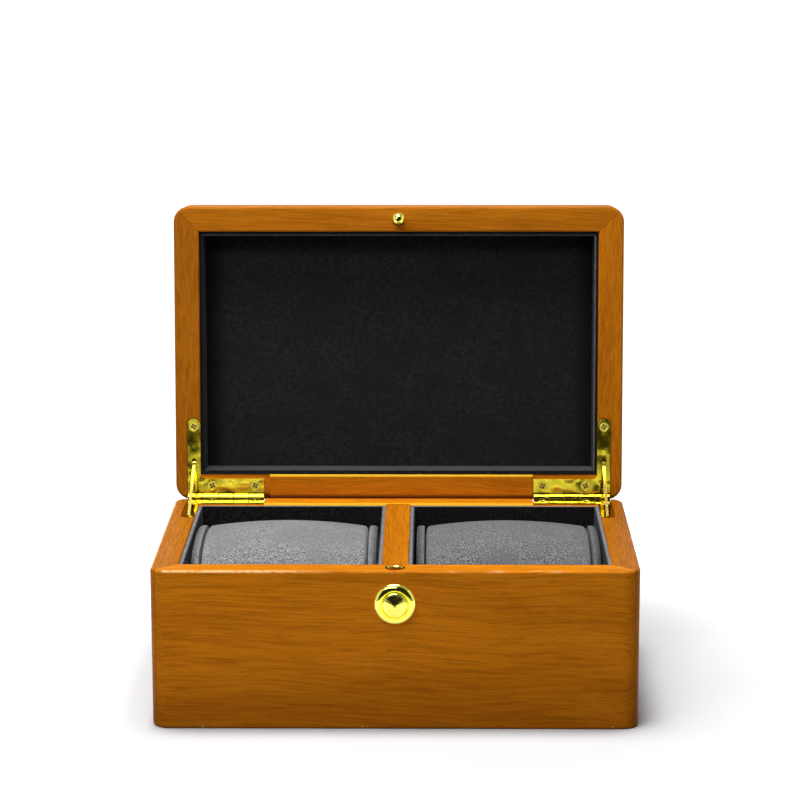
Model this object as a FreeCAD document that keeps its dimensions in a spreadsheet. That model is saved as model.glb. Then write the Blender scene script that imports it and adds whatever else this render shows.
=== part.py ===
import FreeCAD, Part
import math
import os
import re

# Two-bay wooden watch case, lid open: millimetres, +Z up, front towards -Y.
# The origin is the middle of the underside. Lid pieces are drawn closed, about the hinge axis,
# and then turned to the open pose that the struts stop them at.

V = FreeCAD.Vector
TURN_X = V(1, 0, 0)

SIZES = [
    # the case
    ("case_width", 200.0, "outside width, left to right"),
    ("case_depth", 131.0, "outside depth, front to back"),
    ("base_height", 67.0, "underside to rim"),
    ("lid_height", 28.0, "rim to top of the lid"),
    ("wall_thickness", 11.2, "walls, and lid rails"),
    ("top_board", 8.0, "board that closes the lid"),
    ("corner_radius", 6.8, "upright corners"),
    ("edge_round", 1.2, "rim and foot edges"),
    ("arris_round", 0.9, "inner edges of the rims"),
    ("top_round", 3.5, "upper edge of the lid"),
    ("seam_gap", 0.4, "between the rims when closed"),
    ("divider_thickness", 11.2, "board between the bays"),
    ("floor_panel", 6.0, "bottom board"),
    ("felt_thickness", 1.2, "felt under the bottom board"),
    ("floor_rebate", 5.0, "step in the walls that holds the bottom"),
    ("lining_thickness", 1.8, "suede-covered boards in the bays"),
    ("lining_drop", 1.0, "lining edge below the rim"),
    ("lid_strip", 1.8, "lining strips inside the lid"),
    ("lid_pad", 2.0, "lining panel inside the lid"),
    # hinges, distances measured from the hinge axis or the middle of the case
    ("lid_open_angle", 95.5, "degrees from closed"),
    ("hinge_inset", 0.7, "hinge axis in from the back of the case"),
    ("barrel_radius", 2.0, "knuckles"),
    ("pin_radius", 0.9, "hinge pin"),
    ("running_gap", 0.05, "pin in its bore, all round"),
    ("knuckle_gap", 0.45, "between knuckles"),
    ("leaf_gauge", 1.2, "leaf plate"),
    ("leaf_inset", 5.3, "outer edge of the arms, in from the side of the case"),
    ("leaf_length", 34.3, "leaves, along the axis"),
    ("leaf_outer", "=case_width / 2 - leaf_inset", "outer edge of the arms"),
    ("leaf_inner", "=leaf_outer - leaf_length", "inner end of the leaves"),
    ("leaf_width", 8.6, "leg of the leaf, axis to edge"),
    ("arm_width", 5.8, "arm of the leaf"),
    ("lid_arm", 35.7, "reach of the lid leaf's arm"),
    ("base_arm", 36.8, "reach of the base leaf's arm"),
    ("leaf_fillet", 2.2, "inner corner of the L"),
    ("mortise_gap", 0.4, "wood round the leaves"),
    ("left_mortise_over", 2.6, "left lid mortise, cut past the leaf"),
    ("screw_end", 4.0, "inner leaf screw from the end of the leaf"),
    ("screw_pitch", 19.3, "between the leaf screws"),
    ("screw_near", "=leaf_inner + screw_end", "inner leaf screw"),
    ("screw_far", "=screw_near + screw_pitch", "outer leaf screw"),
    ("screw_inset", 5.5, "leaf screws from the axis"),
    ("lid_arm_screw", 32.1, "arm screw on the lid leaf"),
    ("base_arm_screw", 9.8, "arm screw on the base leaf"),
    ("screw_head", 2.1, "head radius"),
    ("screw_shank", 1.0, "shank radius"),
    ("screw_length", 9.0, "head face to tip"),
    ("screw_sunk", 0.08, "edge of the head below the leaf's face"),
    ("screw_crown", 0.2, "middle of the head above its edge"),
    ("pilot_gap", 0.05, "round the screws"),
    ("pilot_over", 0.5, "pilot hole past the tip"),
    # stay struts
    ("strut_pivot", 15.4, "pivot along the lid arm"),
    ("pivot_depth", 2.5, "pivot behind the hinge plane"),
    ("strut_width", 2.0, "blade, in its swing"),
    ("strut_gauge", 1.2, "blade, across"),
    ("strut_eye", 1.5, "eye radius"),
    ("pivot_radius", 0.8, "pivot pin"),
    ("stop_radius", 0.7, "stop pin in the foot"),
    ("stop_reach", 32.3, "stop pin in front of the axis, lid open"),
    ("closed_slope_angle", 75.0, "degrees that the strut hangs, lid closed"),
    ("slot_gap", 0.3, "blade in its slot, each side"),
    ("slot_end_gap", 0.3, "blade to the ends of its slot"),
    ("pocket_gap", 0.5, "wood round the ears and the strut"),
    ("ear_gauge", 1.0, "ears behind the lid leaf"),
    ("ear_rim", 0.6, "ear past the pivot pin"),
    ("foot_rim", 0.5, "metal round the stop pin"),
    ("press_gap", 0.02, "round a pressed pin"),
    # latch
    ("button_drop", 14.0, "button axis below the rim"),
    ("button_level", "=base_height - button_drop", "button axis above the underside"),
    ("button_radius", 5.3, "button"),
    ("button_proud", 2.9, "edge of the button in front of the wall"),
    ("button_round", 0.9, "edge of the button"),
    ("button_crown", 0.9, "point of the button in front of its edge"),
    ("button_gap", 0.08, "button in the bezel"),
    ("press_travel", 1.6, "button stroke"),
    ("bezel_radius", 8.5, "bezel"),
    ("bezel_proud", 2.0, "bezel in front of the wall"),
    ("bezel_lip", 0.6, "edges of the bezel"),
    ("latch_barrel", 6.2, "barrel radius behind the bezel"),
    ("latch_guide", 4.0, "guide radius behind the barrel"),
    ("guide_wall", 0.6, "wall of the guide"),
    ("barrel_floor", 0.6, "floor of the barrel"),
    ("guide_floor", 0.8, "floor of the guide"),
    ("stem_radius", 1.5, "button stem"),
    ("catch_gauge", 0.8, "catch plate"),
    ("catch_width", 6.0, "catch plate"),
    ("catch_lap", 1.4, "catch lip over the stud's ball"),
    ("lip_gap", 0.2, "catch lip above the ball"),
    ("nut_rim", 1.0, "nut round the stem"),
    ("nut_height", 1.1, "nut"),
    ("spring_wire", 0.35, "wire radius"),
    ("spring_turns", 5.0, "turns"),
    ("stud_inset", 5.4, "stud axis behind the front face"),
    ("stud_ball", 2.9, "ball radius"),
    ("stud_neck", 1.3, "neck radius"),
    ("stud_reach", 7.0, "rim to ball centre"),
    ("stud_over", 1.2, "hole past the stud's post"),
    ("collar_rim", 1.2, "stud collar round the neck"),
    ("collar_height", 0.6, "stud collar"),
    ("collar_cone", 0.3, "stud collar"),
    ("ball_gap", 0.3, "ball in its bore"),
    ("ferrule_radius", 4.1, "ferrule in the rim"),
    ("ferrule_depth", 1.5, "ferrule"),
    ("ferrule_chamfer", 0.4, "mouth of the ferrule"),
    # pillows
    ("pillow_gap", 1.0, "pillow to the lining beside it"),
    ("strap_gap", 15.5, "room for a strap in front of and behind the pillow"),
    ("bay_width", "=case_width / 2 - wall_thickness - divider_thickness / 2", "between the boards"),
    ("bay_depth", "=case_depth - 2 * wall_thickness", "between the boards"),
    ("pillow_width", "=bay_width - 2 * (lining_thickness + pillow_gap)", "across the bay"),
    ("pillow_length", "=bay_depth - 2 * (lining_thickness + strap_gap)", "front to back"),
    ("pillow_roll", 3.6, "end roll"),
    ("pillow_level", 0.0, "top of the end rolls above the rim"),
    ("pillow_crown", 2.8, "centre above the end rolls"),
    ("pillow_arc", 115.0, "radius of the top, front to back"),
    ("pillow_shoulder", 18.0, "radius of the upper corners"),
    ("pillow_foot", 10.0, "radius of the lower corners"),
    ("seam_depth", 0.9, "groove beside the end rolls"),
    ("pillow_rest", 0.1, "pillow above the bay floor"),
]
CLEAR = 0.1    # pieces of one body that are slipped into each other
SWING = 0.6    # room round a moving piece
OVER = 1.0     # a cutter runs this far past the wood
SAME = 1e-6    # heights that count as equal

doc = FreeCAD.newDocument("watch_case")
sheet = doc.addObject("Spreadsheet::Sheet", "Sizes")
for row, (alias, value, note) in enumerate(SIZES, 1):
    sheet.set(f"A{row}", note)
    sheet.set(f"B{row}", str(value))
    sheet.setAlias(f"B{row}", alias)
doc.recompute()
ALIASES = [alias for alias, value, note in SIZES]
pieces = []


def size(alias):
    return float(sheet.get(alias))


def bind(expression):
    """Names of sizes in an expression, tied to their cells."""
    return re.sub(r"[a-z_]+", lambda m: "Sizes." + m[0] if m[0] in ALIASES else m[0], str(expression))


def side_span(side, low, high):
    """A stretch of X on the right (+1) or mirrored on the left (-1)."""
    return (low, high) if side > 0 else (f"-({high})", f"-({low})")


def box(name, x, y, z):
    solid = doc.addObject("Part::Box", name)
    for prop, axis, (low, high) in zip(("Length", "Width", "Height"), "xyz", (x, y, z)):
        solid.setExpression(prop, bind(f"({high}) - ({low})"))
        solid.setExpression("Placement.Base." + axis, bind(low))
    return solid


def along(solid, axis, place):
    """Stand a round primitive along an axis, from the low end of its stretch."""
    turn = {"x": (V(0, 1, 0), 90), "y": (V(1, 0, 0), -90), "z": (V(0, 0, 1), 0)}[axis]
    solid.Placement = FreeCAD.Placement(V(), FreeCAD.Rotation(*turn))
    for letter, value in zip("xyz", place):
        solid.setExpression("Placement.Base." + letter, bind(value[0] if letter == axis else value))
    low, high = place["xyz".index(axis)]
    solid.setExpression("Height", bind(f"({high}) - ({low})"))
    return solid


def rod(name, axis, place, radius):
    solid = doc.addObject("Part::Cylinder", name)
    solid.setExpression("Radius", bind(radius))
    return along(solid, axis, place)


def cone(name, axis, place, first, second):
    solid = doc.addObject("Part::Cone", name)
    solid.setExpression("Radius1", bind(first))
    solid.setExpression("Radius2", bind(second))
    return along(solid, axis, place)


def join(name, *solids):
    joined = doc.addObject("Part::MultiFuse", name)
    joined.Shapes = list(solids)
    joined.Refine = True
    return joined


def cut(name, solid, *tools):
    """Take the tools away one after another, as they would be on the bench."""
    for tool in tools:
        result = doc.addObject("Part::Cut", name)
        result.Base = solid
        result.Tool = tool
        solid = result
    return solid


def common(name, solid, tool):
    result = doc.addObject("Part::Common", name)
    result.Base = solid
    result.Tool = tool
    return result


def feature(name, shape):
    result = doc.addObject("Part::Feature", name)
    result.Shape = shape
    return result


def piece(label, solid, placement=None):
    """Register a finished sub-part under the name of its file."""
    solid.Label = label
    pieces.append((label, solid, placement))


def path(start, *steps):
    """Edges from a start point: a step is a point, or a (middle, end) pair for an arc."""
    edges = []
    here = V(*start, 0)
    for step in steps:
        if isinstance(step[0], tuple):
            middle, end = V(*step[0], 0), V(*step[1], 0)
            edges.append(Part.Arc(here, middle, end))
        else:
            end = V(*step, 0)
            edges.append(Part.LineSegment(here, end))
        here = end
    return edges


def sketch(body, name, role, *outlines):
    drawn = body.newObject("Sketcher::SketchObject", name)
    plane = [item for item in body.Origin.OriginFeatures if item.Role == role][0]
    drawn.AttachmentSupport = [(plane, "")]
    drawn.MapMode = "FlatFace"
    for outline in outlines:
        drawn.addGeometry(outline, False)
    return drawn


def pad(body, drawn, length, both_ways=False):
    feature_pad = body.newObject("PartDesign::Pad", drawn.Name + "_pad")
    feature_pad.Profile = drawn
    feature_pad.Midplane = both_ways
    feature_pad.setExpression("Length", bind(length))
    return feature_pad


def round_edges(body, last, chosen, radius):
    """Fillet the edges of a body that a test picks."""
    doc.recompute()
    names = [f"Edge{i}" for i, edge in enumerate(last.Shape.Edges, 1) if chosen(edge)]
    fillet = body.newObject("PartDesign::Fillet", last.Name + "_round")
    fillet.Base = (last, names)
    fillet.setExpression("Radius", bind(radius))
    return fillet


def turned(name, outline):
    """A lathe piece: an outline of (radius, height) turned about Z."""
    body = doc.addObject("PartDesign::Body", name)
    drawn = sketch(body, name + "_outline", "XZ_Plane", outline)
    lathe = body.newObject("PartDesign::Revolution", name + "_turned")
    lathe.Profile = drawn
    lathe.ReferenceAxis = (drawn, ["V_Axis"])
    lathe.Angle = 360
    return body


def rounded_rectangle(width, depth, radius, middle_y):
    x, y, r, k = width / 2, depth / 2, radius, radius * (1 - math.sqrt(0.5))
    low, high = middle_y - y, middle_y + y
    return path((-x + r, low), (x - r, low), ((x - k, low + k), (x, low + r)),
                (x, high - r), ((x - k, high - k), (x - r, high)),
                (-x + r, high), ((-x + k, high - k), (-x, high - r)),
                (-x, low + r), ((-x + k, low + k), (-x + r, low)))


W, D, HB, T = (size(a) for a in ("case_width", "case_depth", "base_height", "wall_thickness"))
SEAM = size("seam_gap")
RING = size("lid_height") - size("top_board")
INSET = size("hinge_inset")
HINGE = V(0, D / 2 - INSET, HB + SEAM / 2)
LID_POSE = FreeCAD.Placement(HINGE, FreeCAD.Rotation(TURN_X, -size("lid_open_angle")))
BASE_HINGE_POSE = FreeCAD.Placement(HINGE, FreeCAD.Rotation())


def on_plane(edge, level):
    return abs(edge.BoundBox.ZMin - level) < SAME and abs(edge.BoundBox.ZMax - level) < SAME


def outer_edge(edge, middle_y):
    bound = edge.BoundBox
    wide = max(abs(bound.XMin), abs(bound.XMax)) > W / 2 - T + SAME
    deep = max(abs(bound.YMin - middle_y), abs(bound.YMax - middle_y)) > D / 2 - T + SAME
    return wide or deep


def frame_ring(name, height, middle_y, rounded_levels, rim_level):
    """The four walls before the saw parts them: a rounded block with its well cut through."""
    ring = doc.addObject("PartDesign::Body", name)
    x, y = W / 2 - T, D / 2 - T
    well = path((-x, middle_y - y), (x, middle_y - y), (x, middle_y + y), (-x, middle_y + y),
                (-x, middle_y - y))
    outline = rounded_rectangle(W, D, size("corner_radius"), middle_y)
    block = pad(ring, sketch(ring, name + "_plan", "XY_Plane", outline, well), height)
    eased = round_edges(ring, block,
                        lambda e: any(on_plane(e, z) for z in rounded_levels) and outer_edge(e, middle_y),
                        "edge_round")
    round_edges(ring, eased, lambda e: on_plane(e, rim_level) and not outer_edge(e, middle_y), "arris_round")
    return ring


def mitre_wedges(name, middle_y, low, high):
    """Four prisms whose slanting ends are the mitre planes."""
    wedges = {}
    out, inn = OVER, f"(wall_thickness + {OVER})"
    for wall, half, cross, turn in (("front", "case_depth", "case_width", 0),
                                    ("right", "case_width", "case_depth", 90),
                                    ("back", "case_depth", "case_width", 180),
                                    ("left", "case_width", "case_depth", 270)):
        wedge = doc.addObject("Part::Wedge", f"{name}_{wall}_saw")
        for prop, value in (("Ymin", f"-{half} / 2 - {out}"), ("Ymax", f"-{half} / 2 + {inn}"),
                            ("Xmin", f"-{cross} / 2 - {out}"), ("Xmax", f"{cross} / 2 + {out}"),
                            ("X2min", f"-{cross} / 2 + {inn}"), ("X2max", f"{cross} / 2 - {inn}"),
                            ("Zmin", low), ("Zmax", high), ("Z2min", low), ("Z2max", high)):
            wedge.setExpression(prop, bind(value))
        wedge.Placement = FreeCAD.Placement(V(0, middle_y, 0), FreeCAD.Rotation(V(0, 0, 1), turn))
        wedges[wall] = wedge
    return wedges


# base: four mitred walls, bottom board, felt and divider

base_ring = frame_ring("base_ring", "base_height", 0, (0, HB), HB)
base_saws = mitre_wedges("base", 0, -OVER, f"base_height + {OVER}")
INNER_X = "case_width / 2 - wall_thickness"
INNER_Y = "case_depth / 2 - wall_thickness"
FLOOR_Z = "felt_thickness + floor_panel"
BOTTOM_X = (f"-({INNER_X} + floor_rebate)", f"{INNER_X} + floor_rebate")
BOTTOM_Y = (f"-({INNER_Y} + floor_rebate)", f"{INNER_Y} + floor_rebate")
floor_rebate = box("floor_rebate_cutter", BOTTOM_X, BOTTOM_Y, (-OVER, FLOOR_Z))
piece("floor_panel", box("floor_board", BOTTOM_X, BOTTOM_Y, ("felt_thickness", FLOOR_Z)))
piece("bottom_felt", box("felt_sheet", BOTTOM_X, BOTTOM_Y, ("0", "felt_thickness")))

# hinge cutters shared by the base and the lid, about the hinge axis; up is +1 for the lid

ARM_X = "(leaf_outer - arm_width / 2)"
POCKET = "(strut_gauge / 2 + slot_gap + ear_gauge + pocket_gap)"
open_angle = math.radians(size("lid_open_angle"))
pivot_u = size("strut_pivot") * math.cos(open_angle) - size("pivot_depth") * math.sin(open_angle)
pivot_z = size("strut_pivot") * math.sin(open_angle) + size("pivot_depth") * math.cos(open_angle)
leaf_back = SEAM / 2 + size("leaf_gauge")
stop_z = -leaf_back - size("stop_radius") - CLEAR / 2
open_slope = math.atan2(pivot_z - stop_z, size("stop_reach") - pivot_u)
strut_length = math.hypot(pivot_z - stop_z, size("stop_reach") - pivot_u)
strut_tip = strut_length + size("stop_radius") + size("foot_rim")
closed_slope = math.radians(size("closed_slope_angle"))
blade = size("strut_width") / 2


def strut_point(share, reach):
    """A point on the strut's middle line, in front of and above the axis: share 0 closed, 1 open."""
    lid = share * open_angle
    slope = closed_slope + share * (open_slope - closed_slope)
    u = size("strut_pivot") * math.cos(lid) - size("pivot_depth") * math.sin(lid)
    z = size("strut_pivot") * math.sin(lid) + size("pivot_depth") * math.cos(lid)
    return u + reach * math.cos(slope), z - reach * math.sin(slope)


swing = [strut_point(i / 24, strut_tip) for i in range(25)]
pocket_front = max(u for u, z in swing) + SWING
pocket_depth = -min(z for u, z in swing) + SWING
slot_end = size("slot_end_gap")
slot_front = pivot_u + (pivot_z + leaf_back) / math.tan(open_slope) + blade / math.sin(open_slope) + slot_end
slot_rear = size("strut_pivot") - blade - SWING
lean = math.pi - open_slope - open_angle
depth_in_lid = size("pivot_depth")
lean_reach = (depth_in_lid - SEAM / 2) / math.tan(lean) + blade / math.sin(lean)
lid_slot_low = size("strut_pivot") - lean_reach - slot_end
lid_slot_high = size("strut_pivot") + depth_in_lid / math.tan(closed_slope) + size("strut_eye") + slot_end
pocket_gap = size("pocket_gap")


def hinge_cutters(name, side, up, arm):
    """Mortise for the L leaf, groove for the barrel and pocket for the strut."""
    leg_end = "left_mortise_over" if up > 0 > side else "mortise_gap"
    x = side_span(side, f"leaf_inner - {leg_end}", "leaf_outer + mortise_gap")
    arm_x = side_span(side, "leaf_outer - arm_width - mortise_gap", "leaf_outer + mortise_gap")
    end_y = f"-({arm} - arm_width / 2)"
    pocket_x = side_span(side, f"{ARM_X} - {POCKET}", f"{ARM_X} + {POCKET}")
    face, floor = f"{up} * (seam_gap / 2 - {OVER})", f"{up} * (seam_gap / 2 + leaf_gauge)"
    z = (face, floor) if up > 0 else (floor, face)
    if up > 0:
        deep = "pivot_depth + strut_eye + pocket_gap"
        pocket_y, pocket_z = (-lid_slot_high - pocket_gap, -lid_slot_low + pocket_gap), ("0", deep)
    else:
        pocket_y, pocket_z = (-pocket_front, -slot_rear + pocket_gap), (-pocket_depth, "0")
    return [box(name + "_leg", x, (f"-wall_thickness - {OVER}", OVER), z),
            box(name + "_arm", arm_x, (end_y, "0"), z),
            rod(name + "_end", "z", (f"{side} * {ARM_X}", end_y, z), "arm_width / 2 + mortise_gap"),
            box(name + "_pocket", pocket_x, pocket_y, pocket_z),
            rod(name + "_groove", "x", (x, "0", "0"), "barrel_radius + mortise_gap")]


SCREWS = {-1: (("screw_near", "screw_inset"), ("screw_far", "screw_inset"), (ARM_X, "base_arm_screw")),
          1: (("screw_near", "screw_inset"), ("screw_far", "screw_inset"), (ARM_X, "lid_arm_screw"))}


def pilot_holes(name, side, up):
    low, high = "0", "seam_gap / 2 + screw_length + pilot_over"
    z = (low, high) if up > 0 else (f"-({high})", low)
    return [rod(f"{name}_{i}", "z", (f"{side} * {x}", f"-{y}", z), "screw_shank + pilot_gap")
            for i, (x, y) in enumerate(SCREWS[up])]


def placed(solid, placement):
    solid.Placement = placement
    return solid


base_tools, lid_tools = {}, {}
for side, hand in ((-1, "left"), (1, "right")):
    tools = hinge_cutters(f"base_{hand}_mortise", side, -1, "base_arm")
    tools += pilot_holes(f"base_{hand}_pilot", side, -1)
    base_tools[hand] = placed(join(f"base_{hand}_hinge_cutters", *tools), BASE_HINGE_POSE)
    tools = hinge_cutters(f"lid_{hand}_mortise", side, 1, "lid_arm")
    tools += pilot_holes(f"lid_{hand}_pilot", side, 1)
    lid_tools[hand] = join(f"lid_{hand}_hinge_cutters", *tools)

# latch places, measured from the front face into the wall

FRONT = "-case_depth / 2"
STUD_Y = f"{FRONT} + stud_inset"
BALL_Z = "base_height + seam_gap - stud_reach"
CATCH_Y = f"{STUD_Y} + stud_ball + {CLEAR}"
lip_front = size("stud_ball") - size("catch_lap")
lip_low = f"{BALL_Z} + {math.sqrt(size('stud_ball') ** 2 - lip_front ** 2)} + lip_gap"
BORE = "stud_ball + ball_gap"
latch_cutters = [
    rod("barrel_bore", "y", ("0", (f"{FRONT} - {OVER}", f"{FRONT} + stud_inset - stud_ball + {CLEAR}"),
                             "button_level"), f"latch_barrel + {CLEAR}"),
    rod("guide_bore", "y", ("0", (FRONT, CATCH_Y), "button_level"), f"latch_guide + {CLEAR}"),
    rod("stud_bore", "z", ("0", STUD_Y, ("button_level", f"base_height + {OVER}")), BORE),
    rod("ferrule_seat", "z", ("0", STUD_Y, ("base_height - ferrule_depth", f"base_height + {OVER}")),
        f"ferrule_radius + {CLEAR / 2}"),
    box("catch_well", (f"-catch_width / 2 - {SWING}", f"catch_width / 2 + {SWING}"),
        (f"{CATCH_Y} - {CLEAR}", f"{FRONT} + wall_thickness + {OVER}"),
        (f"button_level - catch_width / 2 - {SWING}", f"{lip_low} + catch_gauge + {SWING}")),
    box("lip_well", (f"-catch_width / 2 - {SWING}", f"catch_width / 2 + {SWING}"), (STUD_Y, CATCH_Y),
        (f"{lip_low} - {SWING}", f"{lip_low} + catch_gauge + {SWING}")),
]

piece("front_wall", cut("front_board", common("front_blank", base_ring, base_saws["front"]),
                        floor_rebate, *latch_cutters))
piece("back_wall", cut("back_board", common("back_blank", base_ring, base_saws["back"]),
                       floor_rebate, base_tools["left"], base_tools["right"]))
for hand in ("left", "right"):
    blank = common(f"{hand}_blank", base_ring, base_saws[hand])
    piece(f"{hand}_wall", cut(f"{hand}_board", blank, floor_rebate, base_tools[hand]))

nut_well = rod("nut_well", "y", ("0", (f"-({INNER_Y}) - {OVER}", f"-({INNER_Y}) + press_travel"),
                                 "button_level"), f"stem_radius + nut_rim + {SWING}")
half, arris = size("divider_thickness") / 2, size("arris_round")
foot, ease = size("felt_thickness") + size("floor_panel"), arris * (1 - math.sqrt(0.5))
divider_outline = path((-half, foot), (half, foot), (half, HB - arris),
                       ((half - ease, HB - ease), (half - arris, HB)), (arris - half, HB),
                       ((ease - half, HB - ease), (-half, HB - arris)), (-half, foot))
divider = doc.addObject("PartDesign::Body", "divider_board")
pad(divider, sketch(divider, "divider_outline", "XZ_Plane", divider_outline), "bay_depth", True)
piece("divider", cut("divider_cut", divider, nut_well))

# bay linings: floor pad first, then the end boards, then the side boards between them

PAD_TOP = f"{FLOOR_Z} + lining_thickness"
EDGE = "base_height - lining_drop"
for side, hand in ((-1, "left"), (1, "right")):
    near, far = "divider_thickness / 2", INNER_X
    bay_x = side_span(side, near, far)
    outer_x = side_span(side, f"{far} - lining_thickness", far)
    inner_x = side_span(side, near, f"{near} + lining_thickness")
    front_y = (f"-({INNER_Y})", f"-({INNER_Y}) + lining_thickness")
    back_y = (f"{INNER_Y} - lining_thickness", INNER_Y)
    between_y = (front_y[1], back_y[0])
    upright = (PAD_TOP, EDGE)
    piece(f"{hand}_bay_floor", box(f"{hand}_pad", bay_x, (f"-({INNER_Y})", INNER_Y), (FLOOR_Z, PAD_TOP)))
    piece(f"{hand}_bay_front_lining", box(f"{hand}_front_lining", bay_x, front_y, upright))
    piece(f"{hand}_bay_back_lining", box(f"{hand}_back_lining", bay_x, back_y, upright))
    piece(f"{hand}_bay_outer_lining", box(f"{hand}_outer_lining", outer_x, between_y, upright))
    piece(f"{hand}_bay_inner_lining", box(f"{hand}_inner_lining", inner_x, between_y, upright))

# lid, drawn closed about the hinge axis

LID_MIDDLE = INSET - D / 2
RIM_Z, RING_Z = "seam_gap / 2", "seam_gap / 2 + lid_height - top_board"
lid_ring = frame_ring("lid_ring", "lid_height - top_board", LID_MIDDLE, (0,), 0)
lid_ring.Placement = FreeCAD.Placement(V(0, 0, SEAM / 2), FreeCAD.Rotation())
lid_saws = mitre_wedges("lid", LID_MIDDLE, -OVER, f"lid_height + {OVER}")
STUD_LID_Y = "hinge_inset - case_depth + stud_inset"
STUD_HOLE_Z = (f"{RIM_Z} - {OVER}", f"{RIM_Z} + stud_reach + stud_over")
stud_hole = rod("stud_hole", "z", ("0", STUD_LID_Y, STUD_HOLE_Z), f"stud_neck + {CLEAR}")
piece("lid_front_rail", cut("lid_front_board", common("lid_front_blank", lid_ring, lid_saws["front"]),
                            stud_hole), LID_POSE)
piece("lid_back_rail", cut("lid_back_board", common("lid_back_blank", lid_ring, lid_saws["back"]),
                           lid_tools["left"], lid_tools["right"]), LID_POSE)
for hand in ("left", "right"):
    blank = common(f"lid_{hand}_blank", lid_ring, lid_saws[hand])
    piece(f"lid_{hand}_rail", cut(f"lid_{hand}_board", blank, lid_tools[hand]), LID_POSE)

top = doc.addObject("PartDesign::Body", "lid_top")
top_plan = sketch(top, "lid_top_plan", "XY_Plane",
                  rounded_rectangle(W, D, size("corner_radius"), LID_MIDDLE))
top_slab = pad(top, top_plan, "top_board")
round_edges(top, top_slab, lambda e: on_plane(e, size("top_board")), "top_round")
piece("lid_top_board", top, LID_POSE.multiply(
    FreeCAD.Placement(V(0, 0, SEAM / 2 + RING), FreeCAD.Rotation())))

LID_X = (f"-({INNER_X})", INNER_X)
LID_BACK, LID_FRONT = "hinge_inset - wall_thickness", "hinge_inset - case_depth + wall_thickness"
STRIP_Z = (f"{RIM_Z} + lining_drop", f"{RING_Z} - lid_pad")
piece("lid_lining_panel", box("lid_panel", LID_X, (LID_FRONT, LID_BACK),
                              (f"{RING_Z} - lid_pad", RING_Z)), LID_POSE)
piece("lid_front_lining", box("lid_front_strip", LID_X, (LID_FRONT, f"{LID_FRONT} + lid_strip"), STRIP_Z),
      LID_POSE)
piece("lid_back_lining", box("lid_back_strip", LID_X, (f"{LID_BACK} - lid_strip", LID_BACK), STRIP_Z),
      LID_POSE)
for side, hand in ((-1, "left"), (1, "right")):
    strip_x = side_span(side, f"{INNER_X} - lid_strip", INNER_X)
    strip_y = (f"{LID_FRONT} + lid_strip", f"{LID_BACK} - lid_strip")
    piece(f"lid_{hand}_lining", box(f"lid_{hand}_strip", strip_x, strip_y, STRIP_Z), LID_POSE)

# stay hinges: L leaves with knuckles, pins, screws and struts

KNUCKLES = 5
knuckle_pitch = (size("leaf_outer") - size("leaf_inner")) / KNUCKLES


def leaf_outline(side, arm):
    inner, outer, width = size("leaf_inner"), size("leaf_outer"), size("leaf_width")
    r, f = size("arm_width") / 2, size("leaf_fillet")
    k = f * (1 - math.sqrt(0.5))
    points = path((side * inner, 0), (side * outer, 0), (side * outer, -arm + r),
                  ((side * (outer - r), -arm), (side * (outer - 2 * r), -arm + r)),
                  (side * (outer - 2 * r), -width - f),
                  ((side * (outer - 2 * r - k), -width - k), (side * (outer - 2 * r - f), -width)),
                  (side * inner, -width), (side * inner, 0))
    return points


def slot_outline(side, near, far):
    middle = side * (size("leaf_outer") - size("arm_width") / 2)
    r = size("strut_gauge") / 2 + size("slot_gap")
    return path((middle - r, -near - r), ((middle, -near), (middle + r, -near - r)), (middle + r, -far + r),
                ((middle, -far), (middle - r, -far + r)), (middle - r, -near - r))


def hinge_leaf(name, side, up, arm, near, far, own):
    """One leaf about the hinge axis: plate, its own knuckles, slot and countersinks."""
    body = doc.addObject("PartDesign::Body", name + "_plate")
    plan = sketch(body, name + "_plan", "XY_Plane", leaf_outline(side, arm), slot_outline(side, near, far))
    pad(body, plan, "leaf_gauge")
    body.Placement = FreeCAD.Placement(V(0, 0, SEAM / 2 if up > 0 else -leaf_back), FreeCAD.Rotation())
    adds, cuts = [body], []
    for i in range(KNUCKLES):
        low, high = f"leaf_inner + {i * knuckle_pitch}", f"leaf_inner + {(i + 1) * knuckle_pitch}"
        if i in own:
            x = side_span(side, f"{low} + knuckle_gap / 2", f"{high} - knuckle_gap / 2")
            adds.append(rod(f"{name}_knuckle_{i}", "x", (x, "0", "0"), "barrel_radius"))
        else:
            x = side_span(side, f"{low} - knuckle_gap / 2", f"{high} + knuckle_gap / 2")
            cuts.append(rod(f"{name}_relief_{i}", "x", (x, "0", "0"), "barrel_radius + mortise_gap"))
    over_x = side_span(side, f"leaf_inner - {OVER}", f"leaf_outer + {OVER}")
    cuts.append(rod(name + "_bore", "x", (over_x, "0", "0"), "pin_radius + running_gap"))
    for i, (x, y) in enumerate(SCREWS[up]):
        mouth, throat = "screw_head", "screw_shank + pilot_gap"
        face, back = "seam_gap / 2", "seam_gap / 2 + leaf_gauge"
        z = (face, back) if up > 0 else (f"-({back})", f"-({face})")
        radii = (mouth, throat) if up > 0 else (throat, mouth)
        cuts.append(cone(f"{name}_sink_{i}", "z", (f"{side} * {x}", f"-{y}", z), *radii))
    if up > 0:
        gap = "strut_gauge / 2 + slot_gap"
        ear_y = ("-strut_pivot - strut_eye", "-strut_pivot + strut_eye")
        ear_z = ("seam_gap / 2 + leaf_gauge", "pivot_depth + pivot_radius + ear_rim")
        for j, (a, b) in enumerate(((gap, f"{gap} + ear_gauge"), (f"-({gap}) - ear_gauge", f"-({gap})"))):
            ear_x = side_span(side, f"{ARM_X} + {a}", f"{ARM_X} + {b}")
            adds.append(box(f"{name}_ear_{j}", ear_x, ear_y, ear_z))
        cuts.append(rod(name + "_pivot_bore", "x",
                        (side_span(side, f"{ARM_X} - {POCKET}", f"{ARM_X} + {POCKET}"), "-strut_pivot",
                         "pivot_depth"), "pivot_radius + running_gap"))
    return cut(name + "_leaf", join(name + "_blank", *adds), *cuts)


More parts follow.
